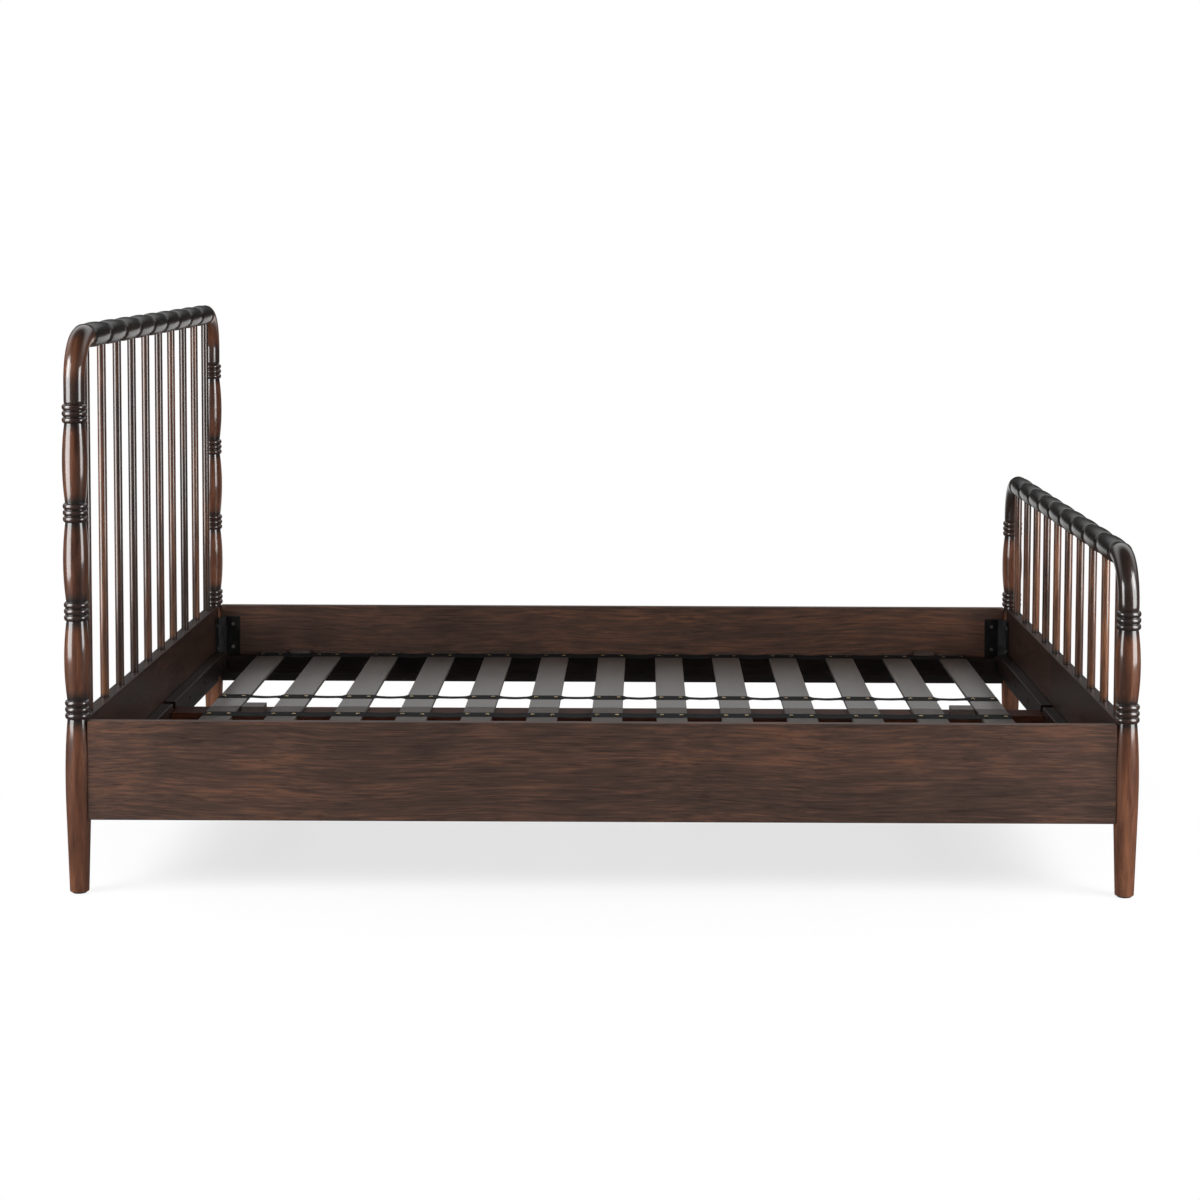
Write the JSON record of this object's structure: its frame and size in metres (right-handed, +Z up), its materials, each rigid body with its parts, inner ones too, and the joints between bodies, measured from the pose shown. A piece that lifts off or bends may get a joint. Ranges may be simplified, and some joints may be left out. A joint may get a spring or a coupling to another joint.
{
  "type": "spindle bed",
  "caption": "Turned wooden bed frame with spindle headboard and footboard, rounded elbows, side rails and a slatted deck in two halves",
  "frame": {"origin": "on the floor, in the middle of the bed's plan", "axes": "+X from the head to the foot, +Y from the near side to the far side, +Z up"},
  "size_m": [2.1496, 1.611, 1.1407],
  "materials": {
    "walnut_stain": "turned and sanded hardwood, dark walnut stain under a semi-gloss lacquer",
    "dark_board": "flat boards in the same dark stain, satin lacquer",
    "slat_wood": "flat slats stained grey-black, semi-gloss",
    "webbing": "woven black webbing",
    "brass_pin": "plain brass-plated nail heads",
    "black_steel": "black powder coat",
    "zinc_steel": "zinc-plated steel",
    "black_plastic": "nylon glide",
    "beech_dowel": "plain beech, unfinished"
  },
  "bodies": {
    "frame": {"bracket_screws": "black_steel", "centre_leg_foot": "dark_board", "centre_leg_head": "dark_board", "centre_rail": "dark_board", "centre_rail_web": "dark_board", "corner_brackets": "black_steel", "foot_elbow_far": "walnut_stain", "foot_elbow_near": "walnut_stain", "foot_glides": "black_plastic", "foot_ledger": "dark_board", "foot_panel": "dark_board", "foot_post_far": "walnut_stain", "foot_post_near": "walnut_stain", "foot_spindle_01": "walnut_stain", "foot_spindle_02": "walnut_stain", "foot_spindle_03": "walnut_stain", "foot_spindle_04": "walnut_stain", "foot_spindle_05": "walnut_stain", "foot_spindle_06": "walnut_stain", "foot_spindle_07": "walnut_stain", "foot_spindle_08": "walnut_stain", "foot_spindle_09": "walnut_stain", "foot_spindle_10": "walnut_stain", "foot_top_rail": "walnut_stain", "frame_dowels": "beech_dowel", "head_elbow_far": "walnut_stain", "head_elbow_near": "walnut_stain", "head_ledger": "dark_board", "head_panel": "dark_board", "head_post_far": "walnut_stain", "head_post_near": "walnut_stain", "head_spindle_01": "walnut_stain", "head_spindle_02": "walnut_stain", "head_spindle_03": "walnut_stain", "head_spindle_04": "walnut_stain", "head_spindle_05": "walnut_stain", "head_spindle_06": "walnut_stain", "head_spindle_07": "walnut_stain", "head_spindle_08": "walnut_stain", "head_spindle_09": "walnut_stain", "head_spindle_10": "walnut_stain", "head_top_rail": "walnut_stain", "ledger_screws": "zinc_steel", "side_ledger_far": "dark_board", "side_ledger_near": "dark_board", "side_rail_far": "walnut_stain", "side_rail_near": "walnut_stain", "stop_blocks": "dark_board"},
    "near_slat_deck": {"near_slats": "slat_wood", "near_outer_strap": "webbing", "near_inner_strap": "webbing", "near_pins": "brass_pin"},
    "far_slat_deck": {"far_slats": "slat_wood", "far_outer_strap": "webbing", "far_inner_strap": "webbing", "far_pins": "brass_pin"},
    "head_leveller": {"leveller_head": "zinc_steel"},
    "foot_leveller": {"leveller_foot": "zinc_steel"}
  },
  "joints": [
    {"name": "near_deck_lift", "type": "slide", "parent": "frame", "child": "near_slat_deck", "axis": [0, 0, 1], "range_m": [0, 0.3]},
    {"name": "far_deck_lift", "type": "slide", "parent": "frame", "child": "far_slat_deck", "axis": [0, 0, 1], "range_m": [0, 0.3]},
    {"name": "head_leveller_screw", "type": "slide", "parent": "frame", "child": "head_leveller", "axis": [0, 0, -1], "range_m": [-0.008, 0.015]},
    {"name": "foot_leveller_screw", "type": "slide", "parent": "frame", "child": "foot_leveller", "axis": [0, 0, -1], "range_m": [-0.008, 0.015]}
  ]
}
